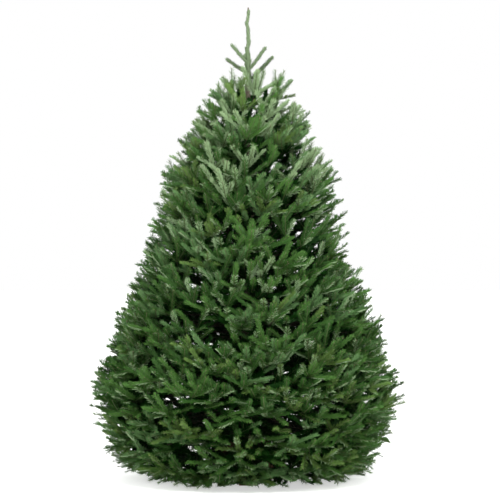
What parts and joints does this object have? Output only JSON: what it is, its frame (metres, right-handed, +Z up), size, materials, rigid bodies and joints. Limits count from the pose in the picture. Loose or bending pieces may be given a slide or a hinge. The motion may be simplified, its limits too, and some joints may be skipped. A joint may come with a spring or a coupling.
{
  "type": "christmas tree",
  "caption": "Cut Christmas tree: a dense, lightly sheared fir with a bare leader, on a plain stand of crossed timbers with braces, undecorated.",
  "frame": {"origin": "on the floor at the middle of the stand's flat underside, below the trunk", "axes": "+Z up the trunk to the leader's tip; the crown's front faces -Y, and the stand's timbers lie along X and Y"},
  "size_m": [1.4195, 1.4103, 2.2001],
  "materials": {
    "needles": "satin",
    "bark": "matte",
    "timber": "matte"
  },
  "bodies": {
    "root": {"bough_1_1": "bark", "bough_1_2": "bark", "bough_1_3": "bark", "bough_1_4": "bark", "bough_1_5": "bark", "bough_1_6": "bark", "bough_2_1": "bark", "bough_2_2": "bark", "bough_2_3": "bark", "bough_2_4": "bark", "bough_2_5": "bark", "bough_2_6": "bark", "foliage_1_1": "needles", "foliage_1_2": "needles", "foliage_1_3": "needles", "foliage_1_4": "needles", "foliage_1_5": "needles", "foliage_1_6": "needles", "foliage_2_1": "needles", "foliage_2_2": "needles", "foliage_2_3": "needles", "foliage_2_4": "needles", "foliage_2_5": "needles", "foliage_2_6": "needles", "foliage_3_1": "needles", "foliage_3_2": "needles", "foliage_3_3": "needles", "foliage_3_4": "needles", "foliage_3_5": "needles", "foliage_3_6": "needles", "foliage_4_1": "needles", "foliage_4_2": "needles", "foliage_4_3": "needles", "foliage_4_4": "needles", "foliage_4_5": "needles", "foliage_5_1": "needles", "foliage_5_2": "needles", "foliage_5_3": "needles", "foliage_5_4": "needles", "foliage_5_5": "needles", "foliage_6_1": "needles", "foliage_6_2": "needles", "foliage_6_3": "needles", "foliage_6_4": "needles", "foliage_7_1": "needles", "foliage_7_2": "needles", "foliage_7_3": "needles", "stand_brace_back": "timber", "stand_brace_front": "timber", "stand_brace_left": "timber", "stand_brace_right": "timber", "stand_timber_lower": "timber", "stand_timber_upper": "timber", "top_shoot_back": "needles", "top_shoot_left_high": "needles", "top_shoot_left_low": "needles", "top_shoot_right_high": "needles", "top_shoot_right_low": "needles", "trunk": "bark"}
  },
  "joints": []
}
